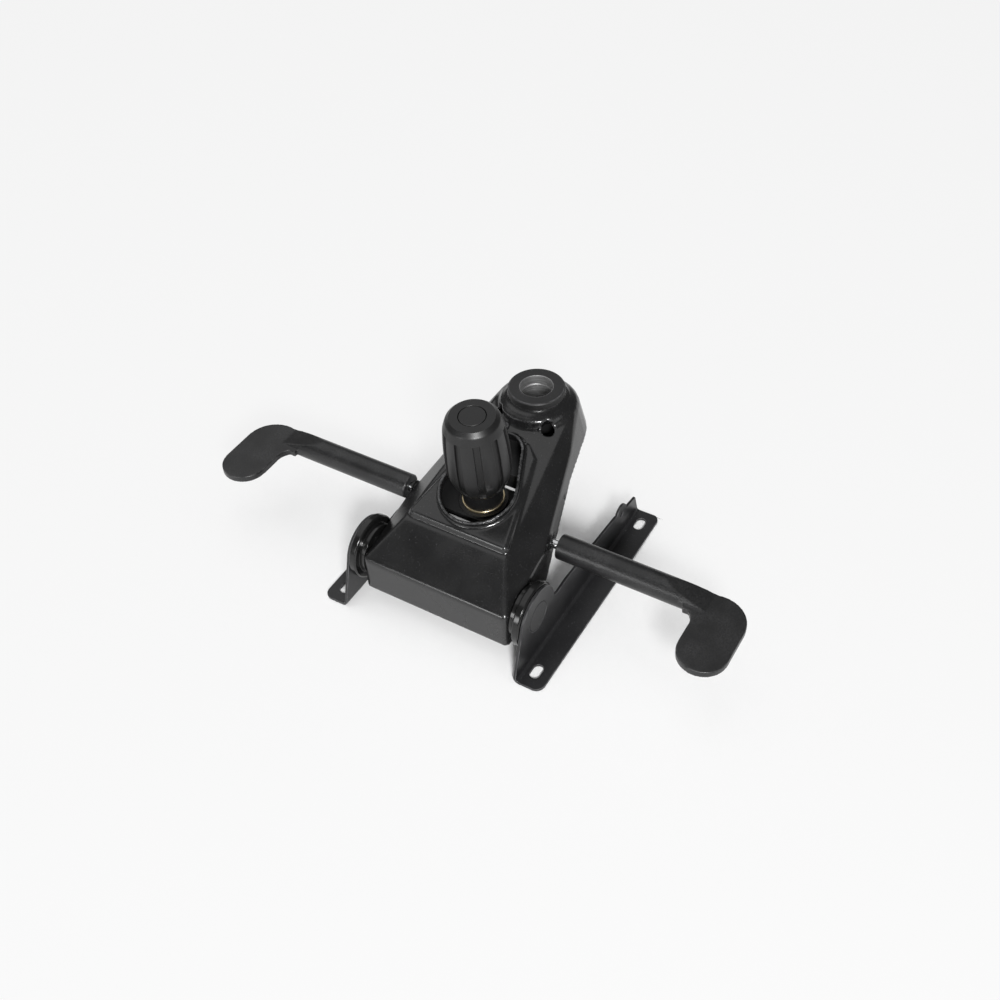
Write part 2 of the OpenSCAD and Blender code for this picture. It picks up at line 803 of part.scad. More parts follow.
module tension_knob() {
  bore_top = screw_top + 2;
  low = bridge_z + 2 * seat_gap + washer_t;
  base_bevel = 1.5;
  top_bevel = 3.5;
  groove_low = knob_base_z + knob_h * groove_top / groove_rows;
  groove_high = knob_base_z + knob_h * groove_top;
  groove_out = knob_d / 2 + 1;
  groove_draft = 1.5;
  color(plastic_black) at_knob() difference() {
    rotate_extrude($fn = 64) polygon(concat(
      [[0, low], [neck_d / 2, low], [neck_d / 2, knob_base_z], [knob_base_d / 2, knob_base_z + base_bevel]],
      knob_profile(0),
      [[knob_top_d / 2 + top_bevel, knob_top_z - top_bevel], [knob_top_d / 2, knob_top_z], [0, knob_top_z]]
    ));
    for (i = [0:groove_count - 1]) rotate(360 * i / groove_count)
      along_y(-groove_w / 2, groove_w / 2) polygon(concat(
        knob_profile(groove_depth),
        [[groove_out, groove_high + groove_draft], [groove_out, groove_low - groove_draft]]
      ));
    translate([0, 0, knob_top_z - cap_depth]) cylinder(d = cap_d + 2 * weld_gap, h = cap_depth + over);
    translate([0, 0, low - over]) cylinder(d = screw_d + 2 * running, h = bore_top - low + over);
    translate([0, 0, nut_z]) cylinder(d = nut_flats / cos(30) + 2 * running, h = nut_h, $fn = 6);
  }
}

module knob_cap() {
  color(plastic_black) at_knob() translate([0, 0, knob_top_z - cap_depth + weld_gap])
    cylinder(d = cap_d, h = cap_depth - weld_gap);
}

module hex_nut(z, bore) {
  translate([0, 0, z]) difference() {
    cylinder(d = nut_flats / cos(30), h = nut_h - 2 * running, $fn = 6);
    translate([0, 0, -over]) cylinder(d = bore, h = nut_h + 2 * over);
  }
}

module knob_nut() {
  color(zinc) at_knob() hex_nut(nut_z + running, screw_d + 2 * running);
}

// Yoke that presses on the rear legs of the springs
yoke_t = 5.6;
yoke_half_w = 6;
leg_seat_z = leg_top_z + wire_r + seat_gap;
yoke_low = bridge_z - (bridge_z - leg_seat_z - yoke_half_w * sin(knob_lean)) / cos(knob_lean);

module spring_yoke() {
  half_len = leg_y + 0.5;
  color(steel) at_knob() translate([0, 0, yoke_low]) difference() {
    union() {
      translate([-yoke_half_w, -half_len, 0]) cube([2 * yoke_half_w, 2 * half_len, yoke_t]);
      cylinder(r = nut_flats * 0.8, h = yoke_t);
    }
    translate([0, 0, -over]) cylinder(d = screw_d + 2 * running, h = yoke_t + 2 * over);
  }
}

module yoke_nut() {
  color(zinc) at_knob() hex_nut(yoke_low + yoke_t, screw_d + 2 * running);
}

// Levers
rod_in_grip = 78;
grip_r = grip_d / 2;

module grip() {
  // Round handle that runs into a flat paddle turned forward
  round_len = 95;
  flat_from = grip_start + round_len;
  flat_lean = 12;
  root = 12;
  bend_r_in = 14;
  paddle_out = grip_end;
  paddle_in = paddle_out - paddle_w;
  difference() {
    union() {
      difference() {
        along_y(grip_start, paddle_in + root) translate([lever_x, lever_z]) circle(r = grip_r);
        for (side = [-1, 1])
          translate([lever_x, flat_from, lever_z + side * grip_r]) rotate([-side * flat_lean, 0, 0])
            translate([-grip_d, 0, -grip_r + (side + 1) / 2 * grip_r]) cube([2 * grip_d, paddle_w * 2, grip_r]);
      }
      translate([lever_x, 0, lever_z - paddle_t / 2]) linear_extrude(paddle_t)
        paddle_plan(paddle_in, paddle_out);
    }
    along_y(grip_start - over, grip_start + rod_in_grip + over)
      translate([lever_x, lever_z]) circle(d = rod_d + 2 * running);
  }
}

module paddle_plan(inner, outer) {
  end_r = paddle_w / 2;
  heel_r = 26;
  fillet = 16;
  // Straight blade with a round end
  translate([0, inner]) square([paddle_reach - end_r, paddle_w - heel_r]);
  translate([-grip_r + heel_r, inner]) square([paddle_reach - end_r + grip_r - heel_r, paddle_w]);
  translate([paddle_reach - end_r, inner + end_r]) circle(r = end_r);
  // Round outer corner where the handle turns
  translate([-grip_r + heel_r, outer - heel_r]) intersection() {
    circle(r = heel_r);
    translate([-heel_r, -heel_r]) square([heel_r, 2 * heel_r]);
  }
  // Root, as wide as the handle, with the fillet on the inside of the turn
  difference() {
    translate([-grip_r, inner - fillet]) square([grip_d + fillet, fillet + 1]);
    translate([grip_r + fillet, inner - fillet]) circle(r = fillet);
  }
}

module height_lever_grip() { color(plastic_black) grip(); }
module lock_lever_grip() { color(plastic_black) left_side() grip(); }

tip_r = 9;
tip_t = 5;

module height_lever_rod() {
  tip = [-socket_x, 0];
  elbow = [lever_x, elbow_y];
  run = norm(tip - elbow);
  yaw = atan2(tip.y - elbow.y, tip.x - elbow.x);
  bend_d = rod_d + 0.6;
  color(zinc) difference() {
    union() {
      along_y(elbow_y, grip_start + rod_in_grip) translate([lever_x, lever_z]) circle(d = rod_d);
      translate([elbow.x, elbow.y, lever_z]) {
        sphere(d = bend_d);
        rotate([0, 0, yaw]) rotate([0, 90, 0]) cylinder(d = rod_d, h = run - tip_r / 2);
      }
      translate([tip.x, tip.y, lever_z - tip_t / 2]) cylinder(r = tip_r, h = tip_t);
      at_lever_pivot() rotate([0, 90, 0]) cylinder(d = eye_d, h = 2 * eye_half, center = true);
    }
    at_lever_pivot() rotate([0, 90, 0])
      cylinder(d = pivot_pin_d + 2 * running, h = eye_d + 2 * eye_half, center = true);
  }
}

// Return spring: one leg hooked into the bracket's front ear, the other over the arm of the rod
return_wire = let (arm_y = -12, arm_x = 12) concat(
  [[hook_y, -ear_in - ear_t / 2, return_coil_r], [hook_y - 1, -return_start, return_coil_r]],
  coil([0, 0], return_coil_r, return_pitch, return_turns, 90, -return_start, -1),
  [[arm_y, -return_end, return_coil_r], [arm_y - 1, arm_x, return_coil_r]]
);

echo(return_spring_gap = self_gap(return_wire, return_wire_d));

module lever_return_spring() {
  color(steel) at_lever_pivot() rotate(90) tube(return_wire, return_wire_d / 2, wire_sides, [0, 1, 0]);
}

module lock_lever_rod() {
  inner_end = sector_y - sector_t / 2 - 3;
  color(zinc) along_y(-grip_start - rod_in_grip, -inner_end) translate([lever_x, lever_z]) circle(d = rod_d);
}

// Arm that lies along the sector when locked, with a tooth for its notches
module lock_pawl() {
  hub_d = 14;
  arm_w = 6;
  arm_gap = 0.6;
  arm_tail = 5;
  color(steel) translate([0, -sector_y - sector_t / 2, 0]) difference() {
    along_y(0, sector_t) translate([lever_x, lever_z]) {
      circle(d = hub_d);
      rotate(-lock_turn) translate([pivot_x - lever_x, pivot_z - lever_z]) {
        difference() {
          slice(sector_r + arm_gap + arm_w, axis_angle, tooth_angle + arm_tail);
          circle(r = sector_r + arm_gap);
        }
        rotate(tooth_angle) translate([sector_r - tooth_depth, -tooth_w / 2])
          square([tooth_depth + arm_w, tooth_w]);
      }
    }
    along_y(-over, sector_t + over) translate([lever_x, lever_z]) circle(d = rod_d + 2 * running);
  }
}

left_rail();
right_rail();
pivot_axle();
left_axle_disc();
right_axle_disc();
spring_anchor();
lock_sector();
housing();
gas_socket();
socket_plate();
knob_bridge();
left_pivot_bush();
right_pivot_bush();
tilt_stop_pin();
lock_rod_bush();
lever_bracket();
lever_pivot_pin();
left_torsion_spring();
right_torsion_spring();
field_screw();
tension_screw();
tension_knob();
knob_cap();
knob_nut();
brass_washer();
spring_yoke();
yoke_nut();
height_lever_rod();
height_lever_grip();
lever_return_spring();
lock_lever_rod();
lock_lever_grip();
lock_pawl();
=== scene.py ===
import json
from math import cos, pi, radians, sin, tau

import bmesh
import bpy
from mathutils import Matrix, Vector


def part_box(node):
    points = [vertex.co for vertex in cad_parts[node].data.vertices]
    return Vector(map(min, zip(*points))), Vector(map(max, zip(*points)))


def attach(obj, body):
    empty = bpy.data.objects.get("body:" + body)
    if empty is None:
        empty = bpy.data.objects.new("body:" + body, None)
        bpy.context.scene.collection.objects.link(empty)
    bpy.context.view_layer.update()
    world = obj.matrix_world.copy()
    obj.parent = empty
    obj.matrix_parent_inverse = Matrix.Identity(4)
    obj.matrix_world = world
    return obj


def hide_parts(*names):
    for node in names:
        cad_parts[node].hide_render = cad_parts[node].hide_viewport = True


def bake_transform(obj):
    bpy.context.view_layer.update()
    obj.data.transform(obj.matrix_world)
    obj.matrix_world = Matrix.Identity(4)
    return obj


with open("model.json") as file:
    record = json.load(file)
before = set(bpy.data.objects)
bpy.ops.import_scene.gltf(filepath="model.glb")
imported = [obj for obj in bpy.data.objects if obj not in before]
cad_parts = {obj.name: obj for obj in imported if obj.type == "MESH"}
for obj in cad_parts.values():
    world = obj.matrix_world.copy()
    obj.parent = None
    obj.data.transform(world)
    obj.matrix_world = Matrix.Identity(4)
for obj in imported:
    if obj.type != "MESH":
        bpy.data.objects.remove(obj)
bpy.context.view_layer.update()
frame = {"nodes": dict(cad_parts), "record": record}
cad = frame["nodes"]
MM = 0.001


# Seat rails. Two angles bent from steel sheet, with a pivot ear in front and a small ear behind.
# They carry a satin black coating and are bolted to the seat through slots in the flanges.
def softened(node, width, slot, finish, steps=2):
    """Copies a CAD piece with its hard edges rounded, in its finish, and lets the copy stand for it."""
    crease = radians(32)
    flat_weight = 80
    piece = merged_copy(node, finish)
    piece.data.materials.append(finish)
    rounding = piece.modifiers.new("Rounded edges", "BEVEL")
    rounding.width = width
    rounding.segments = steps
    rounding.limit_method = "ANGLE"
    rounding.angle_limit = crease
    rounding.use_clamp_overlap = False
    rounding.material = 1
    normals = piece.modifiers.new("Flat faces stay flat", "WEIGHTED_NORMAL")
    normals.weight = flat_weight
    keep_as_mesh(piece)
    edges = piece.data.attributes.new("edge", "FLOAT", "FACE")
    edges.data.foreach_set("value", [float(p.material_index) for p in piece.data.polygons])
    piece.data.polygons.foreach_set("material_index", [0] * len(piece.data.polygons))
    piece.data.materials.pop(index=1)
    stands_for(piece, body_with(node), slot, node)


def merged_copy(node, finish):
    """Copies a CAD piece, with its loose triangles joined and its flat faces whole."""
    same_point = 0.002 * MM
    same_plane = radians(0.4)
    shape = bmesh.new()
    shape.from_mesh(cad[node].data)
    bmesh.ops.remove_doubles(shape, verts=shape.verts, dist=same_point)
    bmesh.ops.dissolve_limit(shape, angle_limit=same_plane, verts=shape.verts, edges=shape.edges)
    mesh = bpy.data.meshes.new(node + "_rough")
    shape.to_mesh(mesh)
    shape.free()
    mesh.materials.clear()
    mesh.materials.append(finish)
    mesh.polygons.foreach_set("material_index", [0] * len(mesh.polygons))
    mesh.shade_smooth()
    return placed(node + "_piece", mesh)


def placed(name, data):
    """Puts a mesh, lamp or camera into the scene."""
    thing = bpy.data.objects.new(name, data)
    bpy.context.scene.collection.objects.link(thing)
    return thing


def body_with(node):
    bodies = frame["record"]["behaviour"]["bodies"]
    return next(name for name, members in bodies.items() if node in members)


def keep_as_mesh(piece):
    """Turns what a piece's modifiers make into its plain mesh."""
    bpy.context.view_layer.update()
    shown = piece.evaluated_get(bpy.context.evaluated_depsgraph_get())
    mesh = bpy.data.meshes.new_from_object(shown)
    piece.modifiers.clear()
    piece.data = mesh


def stands_for(piece, body, slot, *nodes):
    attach(piece, body)
    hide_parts(*nodes)


def shader_node(tree, kind, links=None, **inputs):
    """Adds a shader node; inputs are values by name, and links are sockets of other nodes by name."""
    node = tree.nodes.new(kind)
    for name, value in inputs.items():
        node.inputs[name.replace("_", " ")].default_value = value
    for name, socket in (links or {}).items():
        tree.links.new(socket, node.inputs[name])
    return node


def effect_group(name, inputs, outputs):
    """Starts a node group for an effect that several finishes share."""
    tree = bpy.data.node_groups.new(name, "ShaderNodeTree")
    for label, value in inputs.items():
        socket = tree.interface.new_socket(label, in_out="INPUT", socket_type="NodeSocketFloat")
        socket.default_value = value
    for label in outputs:
        tree.interface.new_socket(label, in_out="OUTPUT", socket_type="NodeSocketFloat")
    given = tree.nodes.new("NodeGroupInput").outputs
    result = tree.nodes.new("NodeGroupOutput").inputs
    return tree, given, result


def piece_coordinates(tree):
    return tree.nodes.new("ShaderNodeTexCoord").outputs["Object"]


def noise(tree, scale, detail=3.0, harshness=0.5, place=None):
    """Cloudy noise over the piece; scale is a number or a socket."""
    links = {"Vector": piece_coordinates(tree) if place is None else place}
    inputs = {"Detail": detail, "Roughness": harshness}
    if isinstance(scale, bpy.types.NodeSocket):
        links["Scale"] = scale
    else:
        inputs["Scale"] = scale
    return shader_node(tree, "ShaderNodeTexNoise", links, **inputs).outputs["Fac"]


def ramp(tree, value, low, high, to_low=0.0, to_high=1.0):
    """Spreads the values from low to high over a new range."""
    node = shader_node(
        tree, "ShaderNodeMapRange", {"Value": value},
        From_Min=low, From_Max=high, To_Min=to_low, To_Max=to_high,
    )
    return node.outputs["Result"]


def combined(tree, operation, first, second):
    """Joins two masks by a named sum, such as their product or the larger one."""
    node = shader_node(tree, "ShaderNodeMath", {0: first, 1: second})
    node.operation = operation
    return node.outputs[0]


# Powder coat: soft orange peel, fine light specks painted into the colour as glints of the film, and slow
# clouds of thickness
powder, given, result = effect_group(
    "Powder film", {"Peel Scale": 620.0, "Speck Scale": 950.0}, ["Height", "Speck", "Cloud"]
)
peel = noise(powder, given["Peel Scale"], detail=2.0, harshness=0.55)
speck = noise(powder, given["Speck Scale"], detail=1.0)
cloud = noise(powder, 34.0, detail=4.0)
powder.links.new(peel, result["Height"])
# The Speck output masks the painted glints.
powder.links.new(ramp(powder, speck, 0.67, 0.78), result["Speck"])
powder.links.new(ramp(powder, cloud, 0.3, 0.7), result["Cloud"])

# Painted edge highlights: the rounded edges of a piece lightened in its colour as highlights, broken up along
# their length
edge_highlights, given, result = effect_group("Painted edge highlights", {"Amount": 0.5}, ["Mask"])
edge = edge_highlights.nodes.new("ShaderNodeAttribute")
edge.attribute_name = "edge"
breaks = ramp(edge_highlights, noise(edge_highlights, 160.0), 0.35, 0.65)
highlit = combined(edge_highlights, "MULTIPLY", edge.outputs["Fac"], breaks)
edge_highlights.links.new(combined(edge_highlights, "MULTIPLY", highlit, given["Amount"]), result["Mask"])


def mixed(tree, factor, first, second):
    """Mixes two colours, or two colour sockets, by a mask."""
    node = tree.nodes.new("ShaderNodeMix")
    node.data_type = "RGBA"
    tree.links.new(factor, node.inputs["Factor"])
    for socket, colour in ((node.inputs[6], first), (node.inputs[7], second)):
        if isinstance(colour, bpy.types.NodeSocket):
            tree.links.new(colour, socket)
        else:
            socket.default_value = (*colour, 1.0)
    return node.outputs[2]


def use_group(tree, group, **inputs):
    node = tree.nodes.new("ShaderNodeGroup")
    node.node_tree = group
    for name, value in inputs.items():
        node.inputs[name.replace("_", " ")].default_value = value
    return node.outputs


def new_finish(name):
    material = bpy.data.materials.new(name)
    material.use_nodes = True
    return material, material.node_tree, material.node_tree.nodes["Principled BSDF"]


def bumped(tree, surface, height, strength, depth):
    """Raises and sinks the surface by a height mask."""
    bump = shader_node(tree, "ShaderNodeBump", {"Height": height}, Strength=strength, Distance=depth)
    tree.links.new(bump.outputs["Normal"], surface.inputs["Normal"])


def powder_coated(name, dark, light, rough, peel_depth, edge_highlight_amount, peel_scale=620.0, gloss=1.5):
    """Black powder coat: rough gives the roughness from the smooth to the dusty places."""
    # Painted highlight: the rounded edges are lightened towards this grey.
    edge_highlight_colour = (0.16, 0.16, 0.165)
    # Painted glints: the specks are lightened to this many times the light colour.
    painted_glint_gain = 4
    material, tree, surface = new_finish(name)
    surface.inputs["IOR"].default_value = gloss
    film = use_group(tree, powder, Peel_Scale=peel_scale)
    edge_glow = use_group(tree, edge_highlights, Amount=edge_highlight_amount)["Mask"]
    clouded = mixed(tree, film["Cloud"], dark, light)
    glinted = mixed(tree, film["Speck"], clouded, [painted_glint_gain * c for c in light])
    tree.links.new(mixed(tree, edge_glow, glinted, edge_highlight_colour), surface.inputs["Base Color"])
    tree.links.new(ramp(tree, film["Cloud"], 0.0, 1.0, *rough), surface.inputs["Roughness"])
    bumped(tree, surface, film["Height"], 0.5, peel_depth)
    return material


rail_coat = powder_coated(
    "Satin black coat", dark=(0.011, 0.011, 0.012), light=(0.016, 0.016, 0.017),
    rough=(0.34, 0.44), peel_depth=0.05 * MM, edge_highlight_amount=0.5,
)
for side in ("left", "right"):
    softened(f"{side}_rail", 0.45 * MM, "rail_coat", rail_coat)


# Pivot axle and its end discs. A turned steel bar across the front, closed in each rail by a welded disc.
# The discs carry a matte dark grey coat with a dark seam round them; the bar is bare and oiled.
disc_coat = powder_coated(
    "Matte grey coat", dark=(0.02, 0.02, 0.0205), light=(0.028, 0.028, 0.0285),
    rough=(0.5, 0.62), peel_depth=0.04 * MM, edge_highlight_amount=0.3,
)


def from_axis(tree, point, across):
    """Distance from the axis through a point; across has a 1 for each direction that counts."""
    centred = shader_node(
        tree, "ShaderNodeMapping", {"Vector": piece_coordinates(tree)},
        Location=[-p * a for p, a in zip(point, across)], Scale=across,
    )
    length = tree.nodes.new("ShaderNodeVectorMath")
    length.operation = "LENGTH"
    tree.links.new(centred.outputs[0], length.inputs[0])
    return length.outputs["Value"]


def tinted(tree, mask, colour):
    """Paints a colour over a finish where a mask in its node tree is."""
    base = tree.nodes["Principled BSDF"].inputs["Base Color"]
    tree.links.new(mixed(tree, mask, base.links[0].from_socket, colour), base)


disc_low, disc_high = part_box("left_axle_disc")
disc_centre = (disc_low + disc_high) / 2
disc_r = (disc_high.x - disc_low.x) / 2
seam_from, seam_full = disc_r - 0.9 * MM, disc_r - 0.6 * MM
tree = disc_coat.node_tree
seam = ramp(tree, from_axis(tree, disc_centre, (1, 0, 1)), seam_from, seam_full)
tinted(tree, seam, (0.002, 0.002, 0.002))
for side in ("left", "right"):
    softened(f"{side}_axle_disc", 0.4 * MM, "disc_coat", disc_coat)

# Bare metal: fine streaks along one direction, and duller patches where oil sits
streaked, given, result = effect_group(
    "Drawn streaks", {"Along X": 40.0, "Along Y": 40.0, "Along Z": 40.0}, ["Streak", "Oil"]
)
stretch = streaked.nodes.new("ShaderNodeCombineXYZ")
for axis in "XYZ":
    streaked.links.new(given[f"Along {axis}"], stretch.inputs[axis])
stretched = streaked.nodes.new("ShaderNodeVectorMath")
stretched.operation = "MULTIPLY"
streaked.links.new(piece_coordinates(streaked), stretched.inputs[0])
streaked.links.new(stretch.outputs[0], stretched.inputs[1])
streak = noise(streaked, 1.0, place=stretched.outputs[0])
streaked.links.new(ramp(streaked, streak, 0.3, 0.7), result["Streak"])
streaked.links.new(ramp(streaked, noise(streaked, 70.0), 0.4, 0.65), result["Oil"])


def bare_metal(name, dull, bright, rough, along):
    """Metal with streaks; along gives how fast they change in X, Y and Z."""
    streak_depth = 0.01 * MM
    material, tree, surface = new_finish(name)
    marks = use_group(tree, streaked, Along_X=along[0], Along_Y=along[1], Along_Z=along[2])
    surface.inputs["Metallic"].default_value = 1.0
    tree.links.new(mixed(tree, marks["Streak"], dull, bright), surface.inputs["Base Color"])
    tree.links.new(ramp(tree, marks["Oil"], 0.0, 1.0, *rough), surface.inputs["Roughness"])
    bumped(tree, surface, marks["Streak"], 0.4, streak_depth)
    return material


bare_steel = bare_metal(
    "Oiled steel", dull=(0.14, 0.14, 0.14), bright=(0.24, 0.24, 0.24),
    rough=(0.34, 0.48), along=(900.0, 60.0, 900.0),
)
softened("pivot_axle", 0.5 * MM, "bare_steel", bare_steel)


# Spring anchor and lock sector. Steel parts welded to the axle inside the front box.
# The anchor's foot takes the inner legs of both springs; the sector's two notches take the lock pawl.
for node in ("spring_anchor", "lock_sector"):
    softened(node, 0.4 * MM, "bare_steel", bare_steel)


# Torsion springs. Two springs of oil-tempered wire round the axle, wound cold, that hold the seat up.
# Each rear leg lies under the yoke and bends with it.
# Each inner leg stays on the anchor's foot, so that the coil winds up as the seat tilts.
spring_steel = bare_metal(
    "Tempered wire", dull=(0.1, 0.095, 0.09), bright=(0.2, 0.19, 0.18),
    rough=(0.3, 0.45), along=(300.0, 500.0, 300.0),
)


def wire_tree():
    """Geometry Nodes tree that lays round wire along a path of points."""
    tree = bpy.data.node_groups.new("Wire along a path", "GeometryNodeTree")
    tree.interface.new_socket("Path", in_out="INPUT", socket_type="NodeSocketGeometry")
    sizes = (("Wire Radius", "Float", 1 * MM), ("Sides", "Int", 16), ("Points", "Int", 200))
    for label, kind, value in sizes:
        socket = tree.interface.new_socket(label, in_out="INPUT", socket_type=f"NodeSocket{kind}")
        socket.default_value = value
    tree.interface.new_socket("Finish", in_out="INPUT", socket_type="NodeSocketMaterial")
    tree.interface.new_socket("Wire", in_out="OUTPUT", socket_type="NodeSocketGeometry")
    given = tree.nodes.new("NodeGroupInput").outputs
    result = tree.nodes.new("NodeGroupOutput").inputs
    to_curve = tree.nodes.new("GeometryNodeMeshToCurve")
    rounded = tree.nodes.new("GeometryNodeCurveSplineType")
    rounded.spline_type = "CATMULL_ROM"
    spaced = tree.nodes.new("GeometryNodeResampleCurve")
    section = tree.nodes.new("GeometryNodeCurvePrimitiveCircle")
    sweep = tree.nodes.new("GeometryNodeCurveToMesh")
    sweep.inputs["Fill Caps"].default_value = True
    realized = tree.nodes.new("GeometryNodeRealizeInstances")
    smooth = tree.nodes.new("GeometryNodeSetShadeSmooth")
    painted = tree.nodes.new("GeometryNodeSetMaterial")
    for start, end in (
        (given["Path"], to_curve.inputs["Mesh"]),
        (to_curve.outputs["Curve"], rounded.inputs["Curve"]),
        (rounded.outputs["Curve"], spaced.inputs["Curve"]),
        (given["Points"], spaced.inputs["Count"]),
        (given["Sides"], section.inputs["Resolution"]),
        (given["Wire Radius"], section.inputs["Radius"]),
        (spaced.outputs["Curve"], sweep.inputs["Curve"]),
        (section.outputs["Curve"], sweep.inputs["Profile Curve"]),
        (sweep.outputs["Mesh"], smooth.inputs["Geometry"]),
        (smooth.outputs["Geometry"], realized.inputs["Geometry"]),
        (realized.outputs["Geometry"], painted.inputs["Geometry"]),
        (given["Finish"], painted.inputs["Material"]),
        (painted.outputs["Geometry"], result["Wire"]),
    ):
        tree.links.new(start, end)
    return tree


wire_along_path = wire_tree()


def set_inputs(modifier, values):
    """Sets a Geometry Nodes modifier's inputs through the identifiers of its sockets."""
    for item in modifier.node_group.interface.items_tree:
        if item.in_out == "INPUT" and item.name in values:
            modifier[item.identifier] = values[item.name]


def wire_piece(name, path, radius, points, sides):
    """Spring wire of that radius along a path of points in the frame."""
    mesh = bpy.data.meshes.new(name)
    mesh.from_pydata(path, [(i, i + 1) for i in range(len(path) - 1)], [])
    piece = placed(name, mesh)
    wire = piece.modifiers.new("Wire", "NODES")
    wire.node_group = wire_along_path
    set_inputs(wire, {"Wire Radius": radius, "Sides": sides, "Points": points, "Finish": spring_steel})
    keep_as_mesh(piece)
    turn_outwards(piece.data)
    return piece


def turn_outwards(mesh):
    shape = bmesh.new()
    shape.from_mesh(mesh)
    bmesh.ops.recalc_face_normals(shape, faces=shape.faces)
    shape.to_mesh(mesh)
    shape.free()


def turns(count, start, sense, steps=24):
    """Angles round a coil from start, with a fixed number of steps for each turn."""
    return [start + sense * tau * i / steps for i in range(round(count * steps) + 1)]


wire_r = 3.5 * MM
drawn_r = wire_r - 0.1 * MM
wire_sides = 20
coil_r = 15.3 * MM
coil_turns = 3.5
coil_points, leg_points = 260, 60
inner_leg_length = 25 * MM
rear_steps, inner_steps = 6, 4
axle_low, axle_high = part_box("pivot_axle")
axle = (axle_low + axle_high) / 2
for side, node in ((1, "right_torsion_spring"), (-1, "left_torsion_spring")):
    low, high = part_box(node)
    outer_y = max(abs(low.y), abs(high.y)) - wire_r
    inner_y = min(abs(low.y), abs(high.y)) + wire_r
    angles = turns(coil_turns, pi / 2, -1)
    coil = []
    for i, a in enumerate(angles):
        across = outer_y + (inner_y - outer_y) * i / (len(angles) - 1)
        coil.append(Vector((axle.x + coil_r * cos(a), side * across, axle.z + coil_r * sin(a))))
    rear_leg = [
        Vector((low.x + (axle.x - low.x) * i / rear_steps, side * outer_y, axle.z + coil_r))
        for i in range(rear_steps)
    ]
    inner_end = coil[-1] - Vector((inner_leg_length, 0, 0))
    inner_leg = [coil[-1].lerp(inner_end, i / inner_steps) for i in range(1, inner_steps + 1)]
    wound = wire_piece(node + "_coil", coil + inner_leg, drawn_r, coil_points, wire_sides)
    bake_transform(wound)
    leg = wire_piece(node + "_leg", rear_leg + coil[:1], drawn_r, leg_points, wire_sides)
    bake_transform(leg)
    for piece in (wound, leg):
        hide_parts(node)


# Housing. One drawn steel shell with a front box, a ramp, a raised field with a collar, and a rounded nose.
# It is powder coated a semi-gloss black that shows fine orange peel.
housing_coat = powder_coated(
    "Semi-gloss powder coat", dark=(0.006, 0.006, 0.0062), light=(0.010, 0.010, 0.0103),
    rough=(0.2, 0.3), peel_depth=0.09 * MM, edge_highlight_amount=0.45, gloss=1.6,
)


def pressed(node, face, passes, slot, finish, drawn=None):
    """Remakes a CAD piece in small even faces, and smooths them as soft as pressed sheet and mouldings."""
    piece = merged_copy(node, finish)
    even = piece.modifiers.new("Even faces", "REMESH")
    even.mode = "VOXEL"
    even.voxel_size = face
    even.use_smooth_shade = True
    soft = piece.modifiers.new("Soft edges", "SMOOTH")
    soft.factor = 0.5
    soft.iterations = passes
    keep_as_mesh(piece)
    piece.data.materials.clear()
    piece.data.materials.append(finish)
    if drawn:
        for vertex in piece.data.vertices:
            vertex.co = drawn(vertex.co)
    mark_edges(piece.data)
    stands_for(piece, body_with(node), slot, node)


def mark_edges(mesh):
    """Stores how sharply the surface turns outwards at each point, from flat at 0 to an edge at 1."""
    flat, sharp = 0.1, 0.4
    shape = bmesh.new()
    shape.from_mesh(mesh)
    bends = [
        sum(e.calc_face_angle_signed(0.0) for e in v.link_edges) / max(len(v.link_edges), 1)
        for v in shape.verts
    ]
    shape.free()
    edges = mesh.attributes.new("edge", "FLOAT", "POINT")
    edges.data.foreach_set("value", [min(max((b - flat) / (sharp - flat), 0.0), 1.0) for b in bends])


socket_low, socket_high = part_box("gas_socket")
bore_axis = (socket_low + socket_high) / 2
ring_low = socket_high.z - 6.5 * MM
ring_gap = 0.3 * MM
nose_r = 36 * MM
flank_r = 27.5 * MM
neck_out = 22 * MM
flank_fill = 4.4 * MM
flank_foot = 16 * MM
flank_rise = 4 * MM


def up_to_ring(point):
    """Fills the hollow flank of the nose's boss, so that it runs straight from the ring to the roof."""
    out = Vector((point.x - bore_axis.x, point.y - bore_axis.y)).length
    if out < neck_out or point.z > ring_low - ring_gap:
        return point
    near = min(max((nose_r - out) / (nose_r - flank_r), 0.0), 1.0)
    high = min(max((point.z - ring_low + flank_foot) / flank_rise, 0.0), 1.0)
    return Vector((point.x, point.y, min(point.z + flank_fill * near * high, ring_low - ring_gap)))


pressed("housing", 1.1 * MM, 3, "housing_coat", housing_coat, up_to_ring)


# Gas lift socket. A turned steel tube with a ring at its mouth, welded into the nose and into an inner plate.
# The ring's face is matte grey and its side is painted darker as shade; the bore is machined and lighter.
# The inner plate is pressed sheet, in a matter coat that is painted darker than the housing as shade inside
# it.
socket_coat = powder_coated(
    "Socket coat", dark=(0.015, 0.015, 0.0155), light=(0.021, 0.021, 0.0215),
    rough=(0.5, 0.62), peel_depth=0.04 * MM, edge_highlight_amount=0.4,
)
ring_edge_high, ring_edge_low = socket_high.z - 0.6 * MM, socket_high.z - 1.0 * MM
bore_edge, bore_inside = 14.9 * MM, 14.3 * MM
tree = socket_coat.node_tree
height = tree.nodes.new("ShaderNodeSeparateXYZ")
tree.links.new(piece_coordinates(tree), height.inputs[0])
